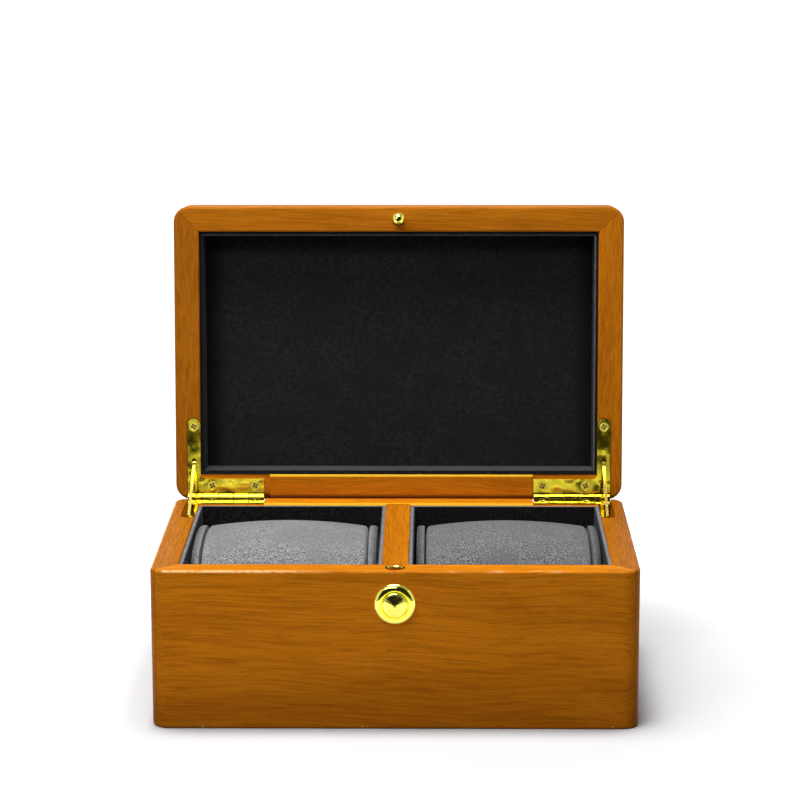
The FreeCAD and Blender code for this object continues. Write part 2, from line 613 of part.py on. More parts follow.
RECESS_ARM, RECESS_SLIT, RECESS_DEPTH = 0.62, 0.2, 0.55    # shares of the head and of the leaf's gauge
TIP = 1.5                                                  # length of the point, in shank radii


def screw_shape():
    """Countersunk screw with a slightly domed head, edge near z = 0, tip down, with a cross recess."""
    head, shank, length = size("screw_head"), size("screw_shank"), size("screw_length")
    gauge, face = size("leaf_gauge"), size("screw_sunk")
    edge = head - face * (head - shank) / gauge - size("pilot_gap")
    crown, half = size("screw_crown"), edge / 2
    top, radius = crown - face, (edge ** 2 + crown ** 2) / (2 * crown)
    bend = V(half, 0, top - radius + math.sqrt(radius ** 2 - half ** 2))
    dome = Part.Arc(V(0, 0, top), bend, V(edge, 0, -face)).toShape()
    sides = Part.makePolygon([V(edge, 0, -face), V(shank, 0, -gauge), V(shank, 0, -length + TIP * shank),
                              V(0, 0, -length), V(0, 0, top)])
    solid = Part.Face(Part.Wire([dome] + sides.Edges)).revolve(V(), V(0, 0, 1), 360)
    arm, slit, deep = RECESS_ARM * head, RECESS_SLIT * head, RECESS_DEPTH * gauge
    for wide, tall in ((arm, slit), (slit, arm)):
        solid = solid.cut(Part.makeBox(2 * wide, 2 * tall, deep + crown, V(-wide, -tall, -deep - face)))
    return Part.Solid(solid) if solid.ShapeType == "Shell" else solid


def screw_group(name, side, up):
    x_arm = size("leaf_outer") - size("arm_width") / 2
    arm_y = size("lid_arm_screw") if up > 0 else size("base_arm_screw")
    places = [(size("screw_near"), size("screw_inset")), (size("screw_far"), size("screw_inset")),
              (x_arm, arm_y)]
    turn = FreeCAD.Rotation(TURN_X, 180 if up > 0 else 0)
    screws = []
    for i, (x, y) in enumerate(places):
        spin = FreeCAD.Rotation(V(0, 0, 1), 25 + 40 * i)
        screw = screw_shape()
        screw.Placement = FreeCAD.Placement(V(side * x, -y, up * SEAM / 2), turn.multiply(spin))
        screws.append(screw)
    return feature(name + "_group", Part.makeCompound(screws))


for side, hand in ((-1, "left"), (1, "right")):
    base_leaf = hinge_leaf(f"{hand}_base", side, -1, size("base_arm"), slot_rear, slot_front, (0, 2, 4))
    lid_leaf = hinge_leaf(f"{hand}_lid", side, 1, size("lid_arm"), lid_slot_low, lid_slot_high, (1, 3))
    piece(f"{hand}_hinge_base_leaf", base_leaf, BASE_HINGE_POSE)
    piece(f"{hand}_hinge_lid_leaf", lid_leaf, LID_POSE)
    pin_x = side_span(side, "leaf_inner", "leaf_outer")
    pin_line = (pin_x, "case_depth / 2 - hinge_inset", "base_height + seam_gap / 2")
    piece(f"{hand}_hinge_pin", rod(f"{hand}_pin", "x", pin_line, "pin_radius"))
    piece(f"{hand}_hinge_base_screws", screw_group(f"{hand}_base_screws", side, -1), BASE_HINGE_POSE)
    piece(f"{hand}_hinge_lid_screws", screw_group(f"{hand}_lid_screws", side, 1), LID_POSE)

    pin_half = "(strut_gauge / 2 + slot_gap + ear_gauge)"
    pivot_x = side_span(side, f"{ARM_X} - {pin_half}", f"{ARM_X} + {pin_half}")
    pivot = rod(f"{hand}_pivot", "x", (pivot_x, "-strut_pivot", "pivot_depth"), "pivot_radius")
    piece(f"{hand}_strut_pivot_pin", pivot, LID_POSE)
    strut_pose = FreeCAD.Placement(HINGE + V(0, -pivot_u, pivot_z),
                                   FreeCAD.Rotation(TURN_X, math.degrees(open_slope)))
    blade_x = side_span(side, f"{ARM_X} - strut_gauge / 2", f"{ARM_X} + strut_gauge / 2")
    bar = box(f"{hand}_bar", blade_x, (-strut_length, "0"), ("-strut_width / 2", "strut_width / 2"))
    eye = rod(f"{hand}_eye", "x", (blade_x, "0", "0"), "strut_eye")
    foot = rod(f"{hand}_foot", "x", (blade_x, -strut_length, "0"), "stop_radius + foot_rim")
    eye_bore = rod(f"{hand}_eye_bore", "x", (blade_x, "0", "0"), "pivot_radius + running_gap")
    foot_bore = rod(f"{hand}_foot_bore", "x", (blade_x, -strut_length, "0"), "stop_radius + press_gap")
    strut = cut(f"{hand}_strut", join(f"{hand}_strut_blank", bar, eye, foot), eye_bore, foot_bore)
    piece(f"{hand}_stay_strut", strut, strut_pose)
    piece(f"{hand}_strut_stop_pin", rod(f"{hand}_stop", "x", (pivot_x, -strut_length, "0"), "stop_radius"),
          strut_pose)

# latch: turned bezel with its barrel and guide, button, spring, catch, nut, ferrule and stud

LATCH_POSE = FreeCAD.Placement(V(0, -D / 2, size("button_level")), FreeCAD.Rotation(TURN_X, 90))
button, stem = size("button_radius"), size("stem_radius")
bore, stem_bore = button + size("button_gap"), stem + size("running_gap")
bezel, proud, face = size("bezel_radius"), size("bezel_proud"), size("button_proud")
barrel, guide = size("latch_barrel"), size("latch_guide")
barrel_back = -(size("stud_inset") - size("stud_ball"))
guide_back = -(size("stud_inset") + size("stud_ball"))
bore_floor, spring_floor = barrel_back + size("barrel_floor"), guide_back + size("guide_floor")
cap_back = bore_floor + size("press_travel") + CLEAR
spring_bore = guide - size("guide_wall")
catch_back = guide_back - CLEAR - size("catch_gauge")
nut_height, lip = size("nut_height"), size("bezel_lip")
DOME_IN, DOME_DOWN = 0.42, 0.22    # middle of the bezel's dome, as shares of its width and rise
dome = (bezel - DOME_IN * (bezel - bore), proud - DOME_DOWN * (proud - lip))
bezel_outline = path((stem_bore, guide_back), (guide, guide_back), (guide, barrel_back),
                     (barrel, barrel_back), (barrel, 0), (bezel, 0), (bezel, lip),
                     (dome, (bore + lip, proud)),
                     (bore, proud - lip), (bore, bore_floor), (spring_bore, bore_floor),
                     (spring_bore, spring_floor), (stem_bore, spring_floor), (stem_bore, guide_back))
piece("latch_bezel", turned("bezel", bezel_outline), LATCH_POSE)

rim, crown = size("button_round"), size("button_crown")
corner = rim * (1 - math.sqrt(0.5))
stem_end = catch_back - nut_height
button_outline = path((0, stem_end), (stem, stem_end), (stem, cap_back), (button, cap_back),
                      (button, face - rim), ((button - corner, face - corner), (button - rim, face)),
                      (0, face + crown), (0, stem_end))
piece("push_button", turned("button", button_outline), LATCH_POSE)

wire, turns = size("spring_wire"), size("spring_turns")
coil = (stem + spring_bore) / 2
coil_height = cap_back - spring_floor - 2 * (wire + CLEAR)
pitch = coil_height / turns
helix = Part.makeHelix(pitch, coil_height, coil)
ring = Part.Wire(Part.Circle(V(coil, 0, 0), V(0, coil, pitch / (2 * math.pi)), wire).toShape())
spring_shape = Part.Wire(helix).makePipeShell([ring], True, True)
spring_shape.translate(V(0, 0, spring_floor + wire + CLEAR))
piece("latch_spring", feature("spring", spring_shape), LATCH_POSE)
print("gap between the spring's turns, mm:", round(pitch - 2 * wire, 2))

CATCH_X = ("-catch_width / 2", "catch_width / 2")
catch_plate = box("catch_upright", CATCH_X, (CATCH_Y, f"{CATCH_Y} + catch_gauge"),
                  ("button_level - catch_width / 2", f"{lip_low} + catch_gauge"))
catch_lip = box("catch_lip", CATCH_X, (f"{STUD_Y} + {lip_front}", CATCH_Y),
                (lip_low, f"{lip_low} + catch_gauge"))
stem_hole = rod("catch_stem_hole", "y", ("0", (f"{CATCH_Y} - {OVER}", f"{CATCH_Y} + catch_gauge + {OVER}"),
                                         "button_level"), "stem_radius + press_gap")
piece("latch_catch", cut("catch", join("catch_blank", catch_plate, catch_lip), stem_hole))
nut_y = (f"{CATCH_Y} + catch_gauge", f"{CATCH_Y} + catch_gauge + nut_height")
nut_blank = rod("nut_blank", "y", ("0", nut_y, "button_level"), "stem_radius + nut_rim")
nut_bore = rod("nut_bore", "y", ("0", nut_y, "button_level"), "stem_radius + press_gap")
piece("catch_nut", cut("nut", nut_blank, nut_bore))

ferrule, depth, chamfer = size("ferrule_radius"), size("ferrule_depth"), size("ferrule_chamfer")
mouth = size("stud_ball") + size("ball_gap")
ferrule_outline = path((mouth, -depth), (ferrule, -depth), (ferrule, 0), (mouth + chamfer, 0),
                       (mouth, -chamfer), (mouth, -depth))
piece("latch_ferrule", turned("ferrule", ferrule_outline),
      FreeCAD.Placement(V(0, -D / 2 + size("stud_inset"), HB), FreeCAD.Rotation()))

BALL_FLAT = 0.3    # flat at the tip of the ball, as a share of its radius
ball, neck, reach = size("stud_ball"), size("stud_neck"), size("stud_reach")
waist = reach - math.sqrt(ball ** 2 - neck ** 2)
flat = BALL_FLAT * ball
collar, collar_top = neck + size("collar_rim"), size("collar_height")
tip = reach + math.sqrt(ball ** 2 - flat ** 2)
stud_outline = path((0, -reach), (neck, -reach), (neck, 0), (collar, 0), (collar, collar_top),
                    (neck, collar_top + size("collar_cone")), (neck, waist), ((ball, reach), (flat, tip)),
                    (0, tip), (0, -reach))
piece("lid_stud", turned("stud", stud_outline), LID_POSE.multiply(
    FreeCAD.Placement(V(0, INSET - D + size("stud_inset"), SEAM / 2), FreeCAD.Rotation(TURN_X, 180))))

# pillows: a crowned centre drawn in at the seams, and a roll at each end

ROLL_MIDDLE, ROLL_TUCK = 0.55, 1.4    # fullest place of a roll, and how far its end is tucked in
pillow_floor = sum(size(a) for a in ("felt_thickness", "floor_panel", "lining_thickness", "pillow_rest"))
bay_middle = (W / 2 - T + size("divider_thickness") / 2) / 2
roll_top = HB + size("pillow_level")


def pillow_section(x, inset, top):
    """Front-to-back outline at one x: arc over the top, round shoulders, flat foot."""
    arc, shoulder, foot = size("pillow_arc"), size("pillow_shoulder"), size("pillow_foot")
    half = size("pillow_length") / 2 - inset
    centre = top - arc
    level = centre + math.sqrt((arc - shoulder) ** 2 - (half - shoulder) ** 2)
    lean = math.atan2(level - centre, half - shoulder)
    meet = (arc * math.cos(lean), centre + arc * math.sin(lean))
    bend = (half - shoulder + shoulder * math.cos(lean / 2), level + shoulder * math.sin(lean / 2))
    k = foot * (1 - math.sqrt(0.5))
    low = pillow_floor

    def at(y, z):
        return V(x, y, z)

    def line(a, b):
        return Part.LineSegment(at(*a), at(*b)).toShape()

    def arc_edge(a, b, c):
        return Part.Arc(at(*a), at(*b), at(*c)).toShape()

    return Part.Wire([
        arc_edge((-meet[0], meet[1]), (0, top), meet),
        arc_edge(meet, bend, (half, level)),
        line((half, level), (half, low + foot)),
        arc_edge((half, low + foot), (half - k, low + k), (half - foot, low)),
        line((half - foot, low), (-half + foot, low)),
        arc_edge((-half + foot, low), (-half + k, low + k), (-half, low + foot)),
        line((-half, low + foot), (-half, level)),
        arc_edge((-half, level), (-bend[0], bend[1]), (-meet[0], meet[1])),
    ])


for side, hand in ((-1, "left"), (1, "right")):
    middle = side * bay_middle
    seam = size("pillow_width") / 2 - size("pillow_roll")
    roll, groove, crown = size("pillow_roll"), size("seam_depth"), size("pillow_crown")
    stations = [(-seam, groove, -groove), (0, 0, crown), (seam, groove, -groove)]
    wires = [pillow_section(middle + x, inset, roll_top + rise) for x, inset, rise in stations]
    piece(f"{hand}_pillow", feature(f"{hand}_cushion", Part.makeLoft(wires, True)))
    rolls = []
    for end in (-1, 1):
        tuck = ROLL_TUCK * groove
        stations = [(seam, groove, -groove), (seam + ROLL_MIDDLE * roll, 0, 0), (seam + roll, tuck, -tuck)]
        wires = [pillow_section(middle + end * x, inset, roll_top + rise) for x, inset, rise in stations]
        rolls.append(Part.makeLoft(wires, True))
    piece(f"{hand}_pillow_ends", feature(f"{hand}_rolls", Part.makeCompound(rolls)))

# check everything, then write one file per piece

doc.recompute()
for item in doc.Objects:
    if "Invalid" in item.State or "Error" in item.State:
        raise RuntimeError(f"{item.Name}: {item.State}")
for label, solid, placement in pieces:
    if placement is not None:
        solid.Placement = placement.multiply(solid.Placement)
    if solid.Shape.isNull() or not solid.Shape.isValid() or not solid.Shape.Solids:
        raise RuntimeError(f"{label} has no sound solid")
os.makedirs("parts", exist_ok=True)
for label, solid, placement in pieces:
    solid.Shape.exportStep(f"parts/{label}.step")
print(len(pieces), "pieces")
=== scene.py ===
import math

import bmesh
import bpy
import numpy as np
from mathutils import Matrix, Vector


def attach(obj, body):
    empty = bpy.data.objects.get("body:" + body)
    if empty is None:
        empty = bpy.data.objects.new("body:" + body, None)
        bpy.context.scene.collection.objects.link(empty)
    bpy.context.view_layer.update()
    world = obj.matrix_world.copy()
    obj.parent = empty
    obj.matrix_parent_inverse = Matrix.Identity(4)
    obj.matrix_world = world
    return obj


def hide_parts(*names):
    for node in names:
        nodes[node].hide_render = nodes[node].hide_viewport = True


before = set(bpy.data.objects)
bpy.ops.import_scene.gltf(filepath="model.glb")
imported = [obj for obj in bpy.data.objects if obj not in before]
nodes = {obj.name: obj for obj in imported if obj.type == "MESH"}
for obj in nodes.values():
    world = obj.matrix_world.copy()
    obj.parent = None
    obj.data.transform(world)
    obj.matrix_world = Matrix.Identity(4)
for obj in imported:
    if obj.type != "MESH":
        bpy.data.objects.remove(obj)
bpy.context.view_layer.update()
scene = bpy.context.scene
MM = 0.001

# sizes of the part that the looks are laid out on, in millimetres
CASE_WIDTH = 200.0
CASE_DEPTH = 131.0
BASE_HEIGHT = 67.0
WALL = 11.2
DIVIDER = 11.2
LINING = 1.8
LINING_DROP = 1.0
LINING_TOP = BASE_HEIGHT - LINING_DROP
HALF_SEAM = 0.2
HINGE_INSET = 0.7
HINGE_Y = CASE_DEPTH / 2 - HINGE_INSET
HINGE_Z = BASE_HEIGHT + HALF_SEAM
LID_OPEN = math.radians(95.5)

# sizes of the pillows and of what they rest on, in millimetres
PILLOW_HALF_LENGTH = 37.0
PILLOW_WIDTH = 77.6
ROLL = 3.6
GROOVE = 0.9
CROWN = 2.8
TOP_ARC = 115.0
SHOULDER = 18.0
FOOT = 10.0
FELT = 1.2
FLOOR_PANEL = 6.0
PILLOW_REST = 0.1
PILLOW_FLOOR = FELT + FLOOR_PANEL + LINING + PILLOW_REST
BAY_MIDDLE = (CASE_WIDTH / 2 - WALL + DIVIDER / 2) / 2
SEAM_X = PILLOW_WIDTH / 2 - ROLL
ROLL_TOP = BASE_HEIGHT


class Tree:
    """The shader nodes of a material or of the world, put together from short calls."""

    def __init__(self, name, world=False):
        self.owner = bpy.data.worlds.new(name) if world else bpy.data.materials.new(name)
        self.owner.use_nodes = True
        self.tree = self.owner.node_tree
        self.tree.nodes.clear()
        self.out = self.node("OutputWorld" if world else "OutputMaterial")

    def node(self, kind, settings=None, **inputs):
        made = self.tree.nodes.new("ShaderNode" + kind)
        for key, value in (settings or {}).items():
            setattr(made, key, value)
        for key, value in inputs.items():
            self.feed(made, key.replace("_", " "), value)
        return made

    def feed(self, made, key, value):
        socket = made.inputs[key]
        if isinstance(value, bpy.types.NodeSocket):
            self.tree.links.new(value, socket)
        else:
            socket.default_value = value

    def math(self, operation, first, second=0.0, third=0.0):
        made = self.node("Math", {"operation": operation})
        for key, value in enumerate((first, second, third)):
            self.feed(made, key, value)
        return made.outputs[0]

    def ramp(self, value, low, high, start=0.0, end=1.0):
        """start at low, end at high, eased between."""
        made = self.node("MapRange", {"interpolation_type": "SMOOTHSTEP"}, Value=value, From_Min=low,
                         From_Max=high, To_Min=start, To_Max=end)
        return made.outputs[0]

    def mix(self, factor, first, second, blend="MIX"):
        made = self.node("Mix", {"data_type": "RGBA", "blend_type": blend})
        for key, value in ((0, factor), (6, first), (7, second)):
            self.feed(made, key, value)
        return made.outputs[2]

    def place(self):
        """x, y and z at rest, in millimetres."""
        coords = self.node("TexCoord").outputs["Object"]
        grown = self.node("VectorMath", {"operation": "SCALE"}, Vector=coords, Scale=1 / MM).outputs[0]
        split = self.node("SeparateXYZ", Vector=grown)
        return [split.outputs[i] for i in range(3)]

    def noise(self, place, scales, detail=3.0, roughness=0.55, shift=(0.0, 0.0, 0.0), distortion=0.0):
        """Noise whose grains are stretched by a scale per axis, in cycles per millimetre."""
        parts = [self.math("MULTIPLY_ADD", p, s, o) for p, s, o in zip(place, scales, shift)]
        vector = self.node("CombineXYZ", X=parts[0], Y=parts[1], Z=parts[2]).outputs[0]
        made = self.node("TexNoise", Vector=vector, Scale=1.0, Detail=detail, Roughness=roughness,
                         Distortion=distortion)
        return made.outputs[0]

    def openness(self, distance, only_local=False):
        """Share of a point's surroundings that nothing covers within a distance in millimetres."""
        settings = {"samples": 8, "only_local": only_local}
        return self.node("AmbientOcclusion", settings, Distance=distance * MM).outputs["AO"]

    def seen(self):
        """1 for rays from the camera and for mirror and glass rays."""
        light = self.node("LightPath").outputs
        direct = self.math("MAXIMUM", light["Is Camera Ray"], light["Is Glossy Ray"])
        return self.math("MAXIMUM", direct, light["Is Transmission Ray"])

    def bump(self, height, strength, distance):
        return self.node("Bump", Strength=strength, Distance=distance * MM, Height=height).outputs[0]

    def show(self, shader):
        self.tree.links.new(shader.outputs[0], self.out.inputs[0])
        return self.owner

    def finish(self, **inputs):
        return self.show(self.node("BsdfPrincipled", **inputs))


def rgb(red, green, blue):
    return (red, green, blue, 1.0)


def even(scale):
    """The same noise scale on each axis."""
    return (scale, scale, scale)


WHITE = rgb(1, 1, 1)


# where a point lies on the case

def inside(t, value, width):
    """How far a point lies inside the nearer of two faces that are a width apart."""
    return t.math("SUBTRACT", width / 2, t.math("ABSOLUTE", value))


def base_mitres(t, place):
    """How far a point lies in from the sides, from front or back, and below the rim of the base."""
    x, y, z = place
    return inside(t, x, CASE_WIDTH), inside(t, y, CASE_DEPTH), t.math("SUBTRACT", BASE_HEIGHT, z)


def lid_depth(t, place):
    """How far a point of the open lid lies behind the plane of its seam, from the hinge axis."""
    y, z = place[1:]
    back = t.math("MULTIPLY", t.math("SUBTRACT", y, HINGE_Y), math.sin(LID_OPEN))
    return t.math("MULTIPLY_ADD", t.math("SUBTRACT", z, HINGE_Z), math.cos(LID_OPEN), back)


def lid_mitres(t, place):
    """The same three distances as base_mitres, on the open lid."""
    x, y, z = place
    rise = t.math("MULTIPLY", t.math("SUBTRACT", z, HINGE_Z), math.sin(LID_OPEN))
    rise = t.math("MULTIPLY_ADD", t.math("SUBTRACT", y, HINGE_Y), -math.cos(LID_OPEN), rise)
    from_middle = t.math("SUBTRACT", rise, CASE_DEPTH / 2 - HINGE_INSET)
    below = t.math("SUBTRACT", lid_depth(t, place), HALF_SEAM)
    return inside(t, x, CASE_WIDTH), inside(t, from_middle, CASE_DEPTH), below


# wood: stained and varnished, grain along each board

# the axes along the grain, across it and into the board
AXES = {"x": (0, 2, 1), "y": (1, 2, 0), "z": (2, 0, 1), "divider": (1, 0, 2)}

# stains, whose red and green follow the tone of the board
STAIN_DARK = (0.36, 0.100, 0.0025)
STAIN_MIDDLE = (0.63, 0.188, 0.0040)
STAIN_LIGHT = (0.79, 0.250, 0.0055)
STAIN_GOLD = (0.84, 0.30, 0.012)

# colours that are the same on every board
PORE_COLOUR = rgb(0.20, 0.05, 0.003)
# painted shade towards the foot
FOOT_SHADE = rgb(0.45, 0.43, 0.3)
GLUE_COLOUR = rgb(0.10, 0.022, 0.002)
# painted highlight on the arrises that face the lamp
ARRIS_HIGHLIGHT = rgb(1.0, 0.56, 0.025)
# painted shade beside the hinge line
HINGE_SHADE_COLOUR = rgb(0.075, 0.018, 0.001)
# pale bare wood of the wear, also used for the painted highlight on the upper edge
BARE_WOOD_AND_HIGHLIGHT = rgb(0.95, 0.60, 0.27)

# noise scales along the grain, across it and into the board, in cycles per millimetre
DRIFT_GRAIN = (0.011, 0.022, 0.022)
BROAD_GRAIN = (0.008, 0.05, 0.05)
LINE_GRAIN = (0.010, 0.42, 0.42)
FIBRE_GRAIN = (0.050, 1.25, 1.25)
PORE_GRAIN = (0.15, 2.3, 2.3)

# noise scales of the wear and of the painted edge highlight, along x, y and z
RUB_GRAIN = (0.09, 0.09, 0.3)
CHIP_GRAIN = (0.45, 0.45, 0.9)

# how the grain lies in the tree, in millimetres
DRIFT_REACH = 16.0
RING_WIDTH = 6.3
RING_WAVE = 3.0
HEART_DEPTH = 31.0

# what each unit of a board's seed shifts its noise by
WOOD_STEP = (3.71, 5.13, 2.37)

# the painted shade towards the foot starts this high above the table, in millimetres
FOOT_SHADE_TOP = 34.0


def stain(colour, tone):
    red, green, blue = colour
    return rgb(red * tone, green * tone, blue)


def worn_and_lit_edges(t, place, shift):
    """Where the varnish is rubbed through, with a painted highlight along the upper edge, most at the left;
    specks at the foot.
    """
    x, y, z = place
    out = t.math("MINIMUM", inside(t, x, CASE_WIDTH), inside(t, y, CASE_DEPTH))
    rubbed = t.noise(place, RUB_GRAIN, 4.0, 0.7, shift)
    chips = t.noise(place, CHIP_GRAIN, 3.0, 0.6, shift)
    upper = t.ramp(t.math("ADD", out, t.math("SUBTRACT", BASE_HEIGHT, z)), 1.15, 0.76)
    share = t.math("MULTIPLY_ADD", t.ramp(x, -20.0, -60.0), 0.85, t.ramp(rubbed, 0.52, 0.66, 0.0, 0.4))
    share = t.math("MULTIPLY", share, t.ramp(chips, 0.38, 0.52, 0.25, 1.0))
    lower = t.math("MULTIPLY", t.ramp(t.math("ADD", out, z), 1.6, 0.9), t.ramp(chips, 0.63, 0.68))
    return t.math("MAXIMUM", t.math("MULTIPLY", upper, share), lower)


def wood(name, grain, seed, tone, slope, rim, foot=0.0, wear=0.0, mitres=None, lit=0.0, unwiped=0.0):
    """Board with its grain along an axis; the seed moves it to another piece of the tree."""
    t = Tree(name)
    place = t.place()
    along, across, deep = (place[i] for i in AXES[grain])
    shift = tuple(seed * step for step in WOOD_STEP)
    drift = t.noise((along, across, deep), DRIFT_GRAIN, 1.5, 0.5, shift)
    bent = t.math("MULTIPLY_ADD", drift, DRIFT_REACH, t.math("MULTIPLY_ADD", along, slope, across))
    grown = (along, bent, deep)
    broad = t.noise(grown, BROAD_GRAIN, 2.0, 0.5, shift)
    lines = t.noise(grown, LINE_GRAIN, 2.5, 0.55, shift)
    fibre = t.noise(grown, FIBRE_GRAIN, 4.0, 0.65, shift)
    pores = t.noise(grown, PORE_GRAIN, 2.0, 0.5, shift)

    # the late wood is the darker end of each year ring
    heart = t.math("ADD", deep, HEART_DEPTH + seed)
    ring = t.math("SQRT", t.math("MULTIPLY_ADD", bent, bent, t.math("MULTIPLY", heart, heart)))
    ring = t.math("MULTIPLY_ADD", lines, RING_WAVE, ring)
    late = t.ramp(t.math("FRACT", t.math("DIVIDE", ring, RING_WIDTH)), 0.55, 0.97)
    late = t.math("MULTIPLY", late, t.ramp(broad, 0.38, 0.62, 0.25, 1.0))

    dark = stain(STAIN_DARK, tone)
    colour = t.mix(t.ramp(broad, 0.32, 0.68), stain(STAIN_MIDDLE, tone), stain(STAIN_LIGHT, tone))
    colour = t.mix(t.ramp(lines, 0.53, 0.74, 0.0, 0.32), colour, dark)
    colour = t.mix(t.math("MULTIPLY", late, 0.12), colour, dark)
    colour = t.mix(t.ramp(fibre, 0.47, 0.70, 0.0, 0.58), colour, dark)
    colour = t.mix(t.ramp(fibre, 0.51, 0.30, 0.0, 0.60), colour, stain(STAIN_GOLD, tone))
    colour = t.mix(t.ramp(pores, 0.60, 0.70, 0.0, 0.38), colour, PORE_COLOUR)

    if foot:
        # painted shade darkens the board towards the foot, and the rim's top gets its own painted light and
        # shade apart from the faces
        z = place[2]
        colour = t.mix(t.ramp(z, FOOT_SHADE_TOP, 1.0, 0.0, foot), colour, FOOT_SHADE, "MULTIPLY")
        shaded_rim_colour = t.mix(1.0, colour, rgb(rim, rim, rim), "MULTIPLY")
        colour = t.mix(t.ramp(z, BASE_HEIGHT - 1.2, BASE_HEIGHT - 0.4), colour, shaded_rim_colour)
    if mitres is not None:
        # a hair line of glue where two boards meet at 45 degrees
        low_x, low_y, below = mitres(t, place)
        joint = t.ramp(t.math("ABSOLUTE", t.math("SUBTRACT", low_x, low_y)), 0.10, 0.32, 0.5, 0.0)
        colour = t.mix(joint, colour, GLUE_COLOUR)
        if lit:
            # painted highlight on the arris round the well, on the edges that face the lamp
            inward = t.math("SUBTRACT", WALL, t.math("MINIMUM", low_x, low_y))
            arris = t.ramp(t.math("ADD", inward, below), 1.25, 0.75, 0.0, lit)
            colour = t.mix(arris, colour, ARRIS_HIGHLIGHT)
        if unwiped:
            # painted shade on the lid's edge beside the hinge line, where it meets the base
            colour = t.mix(t.ramp(low_y, 2.9, 1.2, 0.0, unwiped), colour, HINGE_SHADE_COLOUR)
    if wear:
        # wear, and a painted highlight along the upper edge
        worn_and_lit = t.math("MULTIPLY", worn_and_lit_edges(t, place, shift), wear)
        colour = t.mix(worn_and_lit, colour, BARE_WOOD_AND_HIGHLIGHT)

    relief = t.math("MULTIPLY_ADD", fibre, 0.6, t.math("MULTIPLY", pores, -0.4))
    return t.finish(Base_Color=colour, Roughness=t.ramp(fibre, 0.3, 0.7, 0.34, 0.48),
                    Specular_IOR_Level=0.03, Normal=t.bump(relief, 0.16, 0.10))


# metal

BRASS_STEP = (1.7, 2.9, 4.1)
POLISH_GRAIN = (0.25, 7.0, 7.0)
WARMER = (0.97, 0.92, 0.75)
RECESS_SHADE_COLOUR = rgb(0.05, 0.04, 0.004)


def brass(name, seed, rough, colour, scratch="x", wave=0.0, metal=1.0, recess_shade=0.0):
    """Polished lacquered brass with faint polishing lines and a few dull spots; recesses may get painted
    shade.
    """
    t = Tree(name)
    place = t.place()
    shift = tuple(seed * step for step in BRASS_STEP)
    lines = t.noise([place[i] for i in AXES[scratch]], POLISH_GRAIN, 3.0, 0.6, shift)
    spots = t.noise(place, even(0.35), 3.0, 0.6, shift)
    waves = t.noise(place, even(0.11), 1.0, 0.4, shift)
    warm = tuple(c * k for c, k in zip(colour, WARMER))
    tint = t.mix(t.ramp(spots, 0.42, 0.70), rgb(*colour), rgb(*warm))
    if recess_shade:
        # painted shade in recesses, from how little of the surroundings they see
        shaded = t.ramp(t.openness(recess_shade, only_local=True), 0.55, 0.92, 1.0, 0.0)
        tint = t.mix(shaded, tint, RECESS_SHADE_COLOUR)
    dull = t.ramp(spots, 0.45, 0.75, rough, rough + 0.06)
    relief = t.math("MULTIPLY_ADD", waves, wave, t.math("MULTIPLY", lines, 0.012))
    return t.finish(Base_Color=tint, Metallic=metal, Roughness=t.math("MULTIPLY_ADD", lines, 0.04, dull),
                    Normal=t.bump(relief, 1.0, 0.1))


def steel(name):
    t = Tree(name)
    lines = t.noise(t.place(), even(2.5), 3.0, 0.6)
    tint = t.mix(t.ramp(lines, 0.35, 0.65), rgb(0.46, 0.46, 0.47), rgb(0.60, 0.60, 0.62))
    return t.finish(Base_Color=tint, Metallic=1.0, Roughness=t.ramp(lines, 0.3, 0.7, 0.22, 0.34))


# suede and felt

SHEEN_TINT = rgb(0.82, 0.84, 0.9)


def pillow_seam_shade(t, x, colour, dark):
    """Painted shade in the seams between the centre and the rolls, and on the rolls, darker outwards."""
    offset = t.math("ABSOLUTE", t.math("SUBTRACT", t.math("ABSOLUTE", x), BAY_MIDDLE))
    gap = t.math("ABSOLUTE", t.math("SUBTRACT", offset, SEAM_X))
    colour = t.mix(t.ramp(gap, 0.08, 0.42, 0.9, 0.0), colour, rgb(*(c * 0.12 for c in dark)))
    rolled = t.ramp(offset, SEAM_X, PILLOW_WIDTH / 2 - 0.4, 0.0, 0.75)
    return t.mix(rolled, colour, rgb(*(c * 0.5 for c in dark)))


def suede(name, dark, light, sheen, fleck=0.9, painted_edge=None, painted_edge_colour=None, seams=False):
    """Napped cloth: fine flecks, brushed patches, and painted light and shade along the edges that a mask
    marks.
    """
    t = Tree(name)
    place = t.place()
    nap = t.noise(place, even(0.045), 3.0, 0.55)
    flecks = t.noise(place, even(fleck), 4.0, 0.75)
    hairs = t.noise(place, even(2.6), 2.0, 0.7)
    colour = t.mix(t.ramp(flecks, 0.41, 0.59), rgb(*dark), rgb(*light))
    brushed = tuple((a + b) / 2 * 0.80 for a, b in zip(dark, light))
    colour = t.mix(t.ramp(nap, 0.45, 0.62, 0.0, 0.55), colour, rgb(*brushed))
    colour = t.mix(t.ramp(hairs, 0.55, 0.78, 0.0, 0.35), colour, rgb(*(c * 1.5 for c in light)))
    if painted_edge is not None:
        fold = t.math("MULTIPLY", painted_edge(t, place), t.ramp(flecks, 0.30, 0.62, 0.35, 1.0))
        colour = t.mix(fold, colour, rgb(*painted_edge_colour))
    if seams:
        colour = pillow_seam_shade(t, place[0], colour, dark)
    relief = t.math("MULTIPLY_ADD", flecks, 0.7, t.math("MULTIPLY", hairs, 0.3))
    return t.finish(Base_Color=colour, Roughness=t.ramp(nap, 0.3, 0.7, 0.86, 0.97), Specular_IOR_Level=0.06,
                    Sheen_Weight=sheen, Sheen_Roughness=0.45, Sheen_Tint=SHEEN_TINT,
                    Normal=t.bump(relief, 0.55, 0.35))


